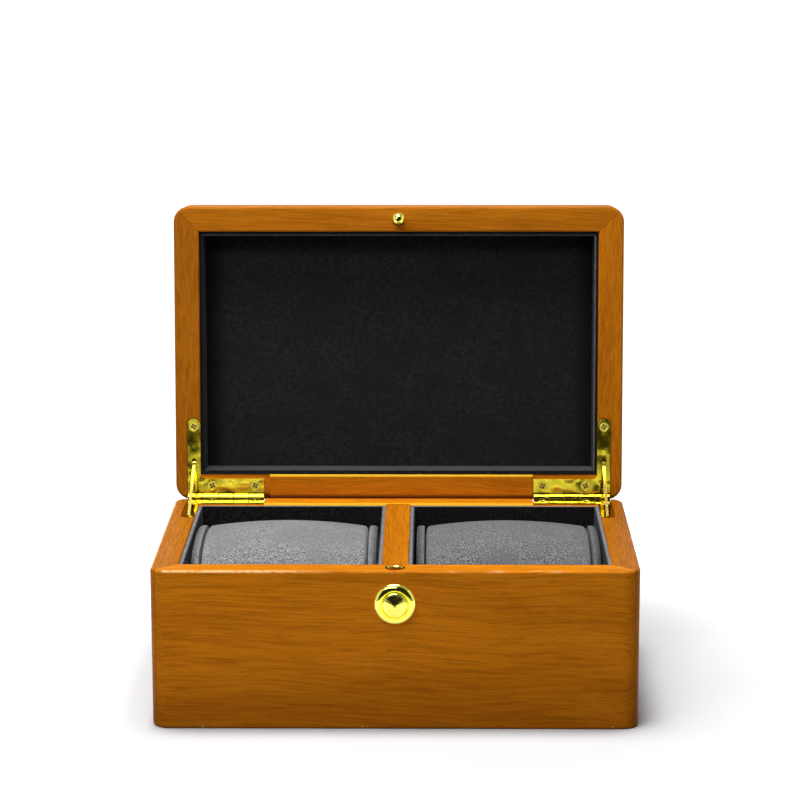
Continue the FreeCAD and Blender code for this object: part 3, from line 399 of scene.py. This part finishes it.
def base_fold_highlight(t, place):
    """Painted highlight on the fold along the wood, at the top of the lining boards."""
    x, y, z = place
    clear = t.math("MINIMUM", inside(t, x, CASE_WIDTH - 2 * WALL),
                   t.math("SUBTRACT", t.math("ABSOLUTE", x), DIVIDER / 2))
    clear = t.math("MINIMUM", clear, inside(t, y, CASE_DEPTH - 2 * WALL))
    return t.math("MULTIPLY", t.ramp(z, LINING_TOP - 0.75, LINING_TOP - 0.15), t.ramp(clear, 1.7, 0.9))


def lid_fold_highlight(t, place):
    """Painted highlight, grey, on the fold on the side away from the wood."""
    fold = t.ramp(lid_depth(t, place), 2.5, 1.6)
    low_x, low_y = lid_mitres(t, place)[:2]
    inward = t.math("SUBTRACT", t.math("MINIMUM", low_x, low_y), WALL)
    return t.math("MULTIPLY", fold, t.ramp(inward, LINING * 0.4, LINING * 0.8))


def lid_shade(t, place):
    """The lower strip: its top is grey as painted light, and painted shade darkens its fold towards the
    wood.
    """
    return t.ramp(lid_depth(t, place), 2.0, 1.3)


def panel_shade(t, place):
    """Painted shade at the left and right edge of the lid panel, where the side rails shadow it."""
    return t.ramp(inside(t, place[0], CASE_WIDTH - 2 * WALL), 6.5 * LINING, LINING, 0.0, 0.9)


def felt(name, dark, light):
    t = Tree(name)
    place = t.place()
    fibres = t.noise(place, even(1.4), 5.0, 0.75, distortion=1.2)
    clumps = t.noise(place, even(0.18), 3.0, 0.6)
    colour = t.mix(t.ramp(fibres, 0.32, 0.68), rgb(*dark), rgb(*light))
    colour = t.mix(t.ramp(clumps, 0.4, 0.65, 0.0, 0.4), colour, rgb(*dark))
    return t.finish(Base_Color=colour, Roughness=t.ramp(clumps, 0.3, 0.7, 0.88, 0.98),
                    Specular_IOR_Level=0.08, Sheen_Weight=0.2, Normal=t.bump(fibres, 0.6, 0.3))


# finishes of the carried-over nodes

LINING_ARRIS = 0.8
LEAF_ARRIS = 0.12
STRUT_ARRIS = 0.2
ARRIS_ANGLE = math.radians(40)


def dress(node, material):
    """Give a carried-over node its finish."""
    slots = nodes[node].data.materials
    slots.clear()
    slots.append(material)


def soften(node, width, segments):
    """Round the edges of a carried-over node by a width in millimetres."""
    bevel = nodes[node].modifiers.new("arris", "BEVEL")
    bevel.width = width * MM
    bevel.segments = segments
    bevel.limit_method = "ANGLE"
    bevel.angle_limit = ARRIS_ANGLE


# boards: axis of the grain, seed, tone (the board's stain, partly set as painted light and shade), slope of
# the grain, and painted light and shade on the top of the rim
WOODS = {
    "front_wall": ("x", 1.0, 0.86, 0.035, 1.16),
    "back_wall": ("x", 6.0, 1.0, -0.02, 1.10),
    "left_wall": ("y", 2.0, 0.78, 0.03, 0.80),
    "right_wall": ("y", 3.0, 0.80, -0.03, 0.75),
    "divider": ("divider", 4.0, 0.80, 0.02, 1.0),
    "floor_panel": ("x", 5.0, 0.9, 0.0, 1.0),
    "lid_front_rail": ("x", 7.0, 0.67, 0.01, 1.0),
    "lid_back_rail": ("x", 8.0, 0.74, 0.01, 1.0),
    "lid_left_rail": ("z", 9.0, 0.58, 0.02, 1.0),
    "lid_right_rail": ("z", 10.0, 0.77, -0.02, 1.0),
    "lid_top_board": ("x", 11.0, 0.86, 0.025, 1.0),
}
for node, board in WOODS.items():
    extras = {}
    if node.endswith("_wall"):
        extras.update(mitres=base_mitres, foot=0.55, wear=0.9)
    if node.endswith("_rail"):
        extras.update(mitres=lid_mitres)
    if node == "back_wall":
        extras.update(lit=0.85, wear=0.0)
    if node == "lid_back_rail":
        extras.update(lit=0.85, unwiped=0.9)
    dress(node, wood(node + "_wood", *board, **extras))

# bay suede with a painted highlight on the folds at the top
bay_suede = suede("bay_suede", dark=(0.0055, 0.0055, 0.006), light=(0.019, 0.019, 0.020), sheen=0.05,
                  painted_edge=base_fold_highlight, painted_edge_colour=(0.26, 0.265, 0.30))
# painted highlights on the folds of the lid linings, brightest on the right board
LID_FOLD_HIGHLIGHTS = {
    "left": (0.014, 0.0143, 0.0155),
    "right": (0.14, 0.14, 0.15),
    "front": (0.05, 0.051, 0.054),
}
lid_suedes = {
    board: suede(f"lid_{board}_suede", dark=(0.004, 0.004, 0.0045), light=(0.010, 0.010, 0.0105),
                 sheen=0.04, painted_edge=lid_fold_highlight, painted_edge_colour=fold)
    for board, fold in LID_FOLD_HIGHLIGHTS.items()
}
# the lower lid strip is a lighter copy of the lid suede, painted light on its top that faces up
lid_suedes["back"] = suede("lit_sill_suede", dark=(0.035, 0.0355, 0.037), light=(0.075, 0.076, 0.079),
                           sheen=0.15, painted_edge=lid_shade, painted_edge_colour=(0.004, 0.004, 0.005))
panel_suede = suede("panel_suede", dark=(0.012, 0.012, 0.0123), light=(0.021, 0.021, 0.0212), sheen=0.2,
                    fleck=0.6, painted_edge=panel_shade, painted_edge_colour=(0.0015, 0.0015, 0.0016))
for hand in ("left", "right"):
    dress(f"{hand}_bay_floor", bay_suede)
    for board in ("front", "back", "outer", "inner"):
        dress(f"{hand}_bay_{board}_lining", bay_suede)
        soften(f"{hand}_bay_{board}_lining", LINING_ARRIS, 4)
for board, material in lid_suedes.items():
    dress(f"lid_{board}_lining", material)
    soften(f"lid_{board}_lining", LINING_ARRIS, 4)
dress("lid_lining_panel", panel_suede)
dress("bottom_felt", felt("foot_felt", dark=(0.010, 0.011, 0.012), light=(0.035, 0.036, 0.038)))

leaf_brass = brass("leaf_brass", 1.0, rough=0.03, colour=(0.97, 0.81, 0.05), wave=1.6)
# the base leaf is a darker copy of the leaf brass: painted shade
shaded_leaf_brass = brass("shaded_leaf_brass", 6.0, rough=0.08, colour=(0.78, 0.62, 0.05), wave=3.5)
# the pin is darkened as painted shade in the gaps between the knuckles
shaded_pin_brass = brass("shaded_pin_brass", 5.0, rough=0.35, colour=(0.20, 0.16, 0.02))
turned_brass = brass("turned_brass", 2.0, rough=0.06, colour=(0.98, 0.94, 0.17))
screw_brass = brass("screw_brass", 3.0, rough=0.30, colour=(1.0, 0.86, 0.14), metal=0.4, recess_shade=0.9)
strut_brass = brass("strut_brass", 4.0, rough=0.24, colour=(0.98, 0.92, 0.26), scratch="z")
HINGE_METALS = {
    "hinge_base_leaf": shaded_leaf_brass,
    "hinge_lid_leaf": leaf_brass,
    "hinge_pin": shaded_pin_brass,
    "strut_pivot_pin": turned_brass,
    "strut_stop_pin": turned_brass,
    "stay_strut": strut_brass,
    "hinge_base_screws": screw_brass,
    "hinge_lid_screws": screw_brass,
}
for hand in ("left", "right"):
    for piece, metal in HINGE_METALS.items():
        dress(f"{hand}_{piece}", metal)
    soften(f"{hand}_hinge_base_leaf", LEAF_ARRIS, 2)
    soften(f"{hand}_hinge_lid_leaf", LEAF_ARRIS, 2)
    soften(f"{hand}_stay_strut", STRUT_ARRIS, 2)
for node in ("latch_bezel", "push_button", "latch_ferrule", "lid_stud", "catch_nut"):
    dress(node, turned_brass)
dress("latch_catch", leaf_brass)
dress("latch_spring", steel("spring_steel"))


# pillows

CENTRE_STEPS = 26
ROLL_STEPS = 14
# half the gap between two skins at a seam, and how much narrower a roll's skin is than the roll
SEAM_GAP = 0.06
END_GAP = 0.2
# the skin of the centre starts this much inside its final shape
SLACK = 0.45
# the skin turns in to the seam from this share of the half width
TUCK_START = 0.972
# points nearer than this to a seam or to the floor are held while the skin swells
HELD = 1.0
# the skin swells by this at most, in millimetres
LARGEST_SWELL = 1.6
PRESSURE = 1.6
CLOTH_FRAMES = 20


def line(start, end, steps):
    """Points along a straight line, without its end."""
    return [tuple(a + (b - a) * i / steps for a, b in zip(start, end)) for i in range(steps)]


def arc(middle, radius, start, end, steps):
    """Points along an arc between two angles, without its end."""
    angles = [start + (end - start) * i / steps for i in range(steps)]
    return [(middle[0] + radius * math.cos(a), middle[1] + radius * math.sin(a)) for a in angles]


def section(inset, top):
    """Front-to-back outline: (y, z) points round the pillow, from the middle of the foot."""
    half = PILLOW_HALF_LENGTH - inset
    centre = top - TOP_ARC
    level = centre + math.sqrt((TOP_ARC - SHOULDER) ** 2 - (half - SHOULDER) ** 2)
    lean = math.atan2(level - centre, half - SHOULDER)
    low = PILLOW_FLOOR + inset * 0.2
    points = line((0.0, low), (half - FOOT, low), 7)
    points += arc((half - FOOT, low + FOOT), FOOT, -math.pi / 2, 0.0, 8)
    points += line((half, low + FOOT), (half, level), 6)
    points += arc((half - SHOULDER, level), SHOULDER, 0.0, lean, 12)
    points += arc((0.0, centre), TOP_ARC, lean, math.pi / 2, 14)
    points.append((0.0, top))
    mirrored = [(-y, z) for y, z in points[1:-1]]
    return points + mirrored[::-1]


def tube(name, stations):
    """Closed skin over sections, each given by its x, its inset and its top."""
    mesh = bpy.data.meshes.new(name)
    bm = bmesh.new()
    loops = []
    for x, inset, top in stations:
        loops.append([bm.verts.new((x * MM, y * MM, z * MM)) for y, z in section(inset, top)])
    for first, second in zip(loops, loops[1:]):
        n = len(first)
        for i in range(n):
            bm.faces.new((first[i], first[(i + 1) % n], second[(i + 1) % n], second[i]))
    for loop in (loops[0], loops[-1]):
        cap = bm.faces.new(loop)
        bmesh.ops.poke(bm, faces=[cap])
    bmesh.ops.recalc_face_normals(bm, faces=bm.faces)
    for face in bm.faces:
        face.smooth = True
    bm.to_mesh(mesh)
    bm.free()
    made = bpy.data.objects.new(name, mesh)
    scene.collection.objects.link(made)
    return made


def centre_stations(middle):
    """Sections of a pillow's crowned centre, closer together near the seams."""
    stations = []
    for i in range(CENTRE_STEPS + 1):
        u = -1 + 2 * i / CENTRE_STEPS
        u = math.copysign(1 - (1 - abs(u)) ** 1.25, u)
        crown = CROWN * (1 - u * u)
        tuck = GROOVE * max(0.0, (abs(u) - TUCK_START) / (1 - TUCK_START)) ** 2
        top = ROLL_TOP + crown - tuck - SLACK
        stations.append((middle + u * (SEAM_X - SEAM_GAP), tuck + SLACK, top))
    return stations


def roll_stations(middle, end):
    """Sections of the sewn roll at one end of a pillow; it rounds off most on its outer side."""
    stations = []
    for i in range(ROLL_STEPS + 1):
        a = math.pi * i / ROLL_STEPS
        bulge = math.sin(a) ** 0.75
        x = SEAM_X + SEAM_GAP + (ROLL - END_GAP) * (1 - math.cos(a)) / 2
        lost = (1 - bulge) * ROLL * (0.12 if a < math.pi / 2 else 0.42)
        stations.append((middle + end * x, lost, ROLL_TOP - lost))
    return stations


def inflate(cushion, middle):
    """Swell a pillow's centre by cloth pressure, held at its seams and where it rests."""
    rest = np.array([v.co for v in cushion.data.vertices])
    held = [v.index for v in cushion.data.vertices
            if abs(v.co.x / MM - middle) > SEAM_X - HELD or v.co.z / MM < PILLOW_FLOOR + HELD]
    group = cushion.vertex_groups.new(name="sewn")
    group.add(held, 1.0, "REPLACE")
    cloth = cushion.modifiers.new("cloth", "CLOTH")
    settings = cloth.settings
    settings.quality = 5
    settings.mass = 0.15
    settings.tension_stiffness = 18
    settings.compression_stiffness = 18
    settings.shear_stiffness = 8
    settings.bending_stiffness = 2.0
    settings.use_pressure = True
    settings.uniform_pressure_force = PRESSURE
    settings.vertex_group_mass = "sewn"
    settings.effector_weights.gravity = 0
    cloth.point_cache.frame_start = 1
    cloth.point_cache.frame_end = CLOTH_FRAMES
    for number in range(1, CLOTH_FRAMES + 1):
        scene.frame_set(number)
    graph = bpy.context.evaluated_depsgraph_get()
    swollen = cushion.evaluated_get(graph).data
    moved = np.array([v.co for v in swollen.vertices]) - rest
    reach = np.linalg.norm(moved, axis=1, keepdims=True)
    moved *= np.minimum(1.0, LARGEST_SWELL * MM / np.maximum(reach, 1e-9))
    cushion.modifiers.remove(cloth)
    for vertex, step in zip(cushion.data.vertices, moved):
        vertex.co = vertex.co + Vector(step)
    scene.frame_set(1)


def finish_skin(cushion, body, node, material):
    cushion.data.materials.append(material)
    subdivision = cushion.modifiers.new("fullness", "SUBSURF")
    subdivision.levels = 1
    subdivision.render_levels = 1
    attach(cushion, body)
    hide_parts(node)


# the left pillow's suede is a lighter copy of the right's: painted light from the lamp at the left
pillow_suedes = {
    "left": suede("lit_left_pillow_suede", dark=(0.10, 0.10, 0.103), light=(0.385, 0.385, 0.388),
                  sheen=0.25, fleck=1.5, seams=True),
    "right": suede("shaded_right_pillow_suede", dark=(0.058, 0.058, 0.061), light=(0.275, 0.275, 0.278),
                   sheen=0.2, fleck=1.5, seams=True),
}
for hand, side in (("left", -1), ("right", 1)):
    middle = side * BAY_MIDDLE
    centre = tube(f"{hand}_pillow_centre", centre_stations(middle))
    inflate(centre, middle)
    finish_skin(centre, f"{hand}_pillow", f"{hand}_pillow", pillow_suedes[hand])

    rolls = []
    for end in (-1, 1):
        rolls.append(tube(f"{hand}_roll_{'outer' if end == side else 'inner'}", roll_stations(middle, end)))
    bpy.ops.object.select_all(action="DESELECT")
    for roll in rolls:
        roll.select_set(True)
    bpy.context.view_layer.objects.active = rolls[0]
    bpy.ops.object.join()
    rolls[0].name = f"{hand}_pillow_rolls"
    finish_skin(rolls[0], f"{hand}_pillow", f"{hand}_pillow_ends", pillow_suedes[hand])


# stage, light and camera

FLOOR_SIZE = 24.0
PAPER_DARK = rgb(0.355, 0.345, 0.36)
PAPER_LIGHT = rgb(0.375, 0.365, 0.38)
# the paper's glow beside the case, and what is added to it far away
NEAR_GLOW = 0.56
FAR_GLOW = 0.52
# reach of the contact shadow, in millimetres
CONTACT = 20
# strength of the surround as a light; rays that see it directly find it at 1
AMBIENT = 0.20


def stage_plane(name, size, location):
    mesh = bpy.data.meshes.new(name)
    half = size / 2
    corners = [(-half, -half, 0), (half, -half, 0), (half, half, 0), (-half, half, 0)]
    mesh.from_pydata(corners, [], [(0, 1, 2, 3)])
    made = bpy.data.objects.new(name, mesh)
    made.location = location
    scene.collection.objects.link(made)
    return made


def floor_paper():
    """White paper that glows by itself, less near the case, so that only soft shadows are left."""
    t = Tree("floor_paper")
    x, y, z = t.place()
    away = t.math("SQRT", t.math("MULTIPLY_ADD", x, x, t.math("MULTIPLY", y, y)))
    far = t.ramp(t.math("ADD", away, t.ramp(x, -90.0, -150.0, 0.0, 80.0)), 120.0, 260.0)
    grain = t.noise((x, y, z), even(0.02), 2.0, 0.5)
    # most of the contact shadow is left out at the left of the case
    contact = t.ramp(t.openness(CONTACT), 0.40, 1.0)
    contact = t.math("MAXIMUM", contact, t.ramp(x, -94.0, -104.0, 0.0, 0.9))
    paper = t.node("BsdfDiffuse", Color=t.mix(grain, PAPER_DARK, PAPER_LIGHT))
    lift = t.math("MULTIPLY", t.math("MULTIPLY_ADD", far, FAR_GLOW, NEAR_GLOW), contact)
    glow = t.node("Emission", Color=WHITE, Strength=t.math("MULTIPLY", lift, t.seen()))
    both = t.node("AddShader")
    t.feed(both, 0, paper.outputs[0])
    t.feed(both, 1, glow.outputs[0])
    return t.show(both)


def studio():
    t = Tree("studio", world=True)
    level = t.node("MapRange", Value=t.seen(), To_Min=AMBIENT, To_Max=1.0)
    return t.show(t.node("Background", Strength=level.outputs[0]))


def lamp(name, place, target, size, power):
    data = bpy.data.lights.new(name, "AREA")
    data.shape = "RECTANGLE"
    data.size, data.size_y = size
    data.energy = power
    made = bpy.data.objects.new(name, data)
    made.location = place
    made.rotation_euler = (Vector(target) - Vector(place)).to_track_quat("-Z", "Y").to_euler()
    made.visible_camera = False
    scene.collection.objects.link(made)


def mirror_card(name, size, location, tilt, level):
    """A card for the metal to mirror; it throws no diffuse light and no shadow on the object."""
    card = stage_plane(name, 1.0, location)
    card.scale = (size[0], size[1], 1)
    card.rotation_euler = (math.radians(tilt), 0, 0)
    t = Tree(name + "_card")
    soft = t.noise(t.place(), even(0.004), 1.0, 0.5)
    strength = t.ramp(soft, 0.2, 0.8, level * 0.6, level * 1.4)
    card.data.materials.append(t.show(t.node("Emission", Color=WHITE, Strength=strength)))
    card.visible_camera = False
    card.visible_diffuse = False
    card.visible_shadow = False
    card.visible_transmission = False


floor = stage_plane("floor", FLOOR_SIZE, (0, 0, 0))
floor.data.materials.append(floor_paper())
scene.world = studio()

WELL = (0, 0, 0.06)
lamp("overhead", (-0.1, -0.06, 0.85), WELL, size=(0.5, 0.5), power=6.6)
lamp("front_strip", (-0.14, -0.33, 0.42), WELL, size=(0.4, 0.12), power=0.95)

mirror_card("front_flag", (4.4, 4.0), (0.1, -1.6, 2.02), tilt=90, level=0.02)
mirror_card("hinge_card", (0.396, 0.10), (-0.02, -1.59, 0.07), tilt=90, level=0.6)
mirror_card("sky_card", (7.0, 7.0), (0.0, 0.6, 3.0), tilt=0, level=0.38)
mirror_card("table_flag", (4.4, 1.0), (0.1, -1.1, 0.002), tilt=0, level=0.03)

# the camera fitted to the corners of the case
CAMERA_AT = (0.01636, -1.22546, 0.36621)
YAW = math.radians(-0.689)
PITCH = math.radians(12.705)
ROLL_ANGLE = math.radians(0.08)
FOCAL_PX = 2951.5
FRAME_PX = 800.0
SHIFT_PX = (-0.6, 80.4)
SENSOR = 36.0
forward = Vector((math.sin(YAW) * math.cos(PITCH), math.cos(YAW) * math.cos(PITCH), -math.sin(PITCH)))
right = Vector((math.cos(YAW), -math.sin(YAW), 0))
up = right.cross(forward)
turn = Matrix.Rotation(ROLL_ANGLE, 3, forward)
pose = Matrix((turn @ right, turn @ up, -forward)).transposed().to_4x4()
pose.translation = CAMERA_AT
camera_data = bpy.data.cameras.new("camera")
camera_data.sensor_width = SENSOR
camera_data.lens = FOCAL_PX / FRAME_PX * SENSOR
camera_data.shift_x = SHIFT_PX[0] / FRAME_PX
camera_data.shift_y = SHIFT_PX[1] / FRAME_PX
camera_data.clip_start = 0.05
camera_data.clip_end = 60.0
camera = bpy.data.objects.new("camera", camera_data)
camera.matrix_world = pose
scene.collection.objects.link(camera)
scene.camera = camera

scene.view_settings.view_transform = "Standard"
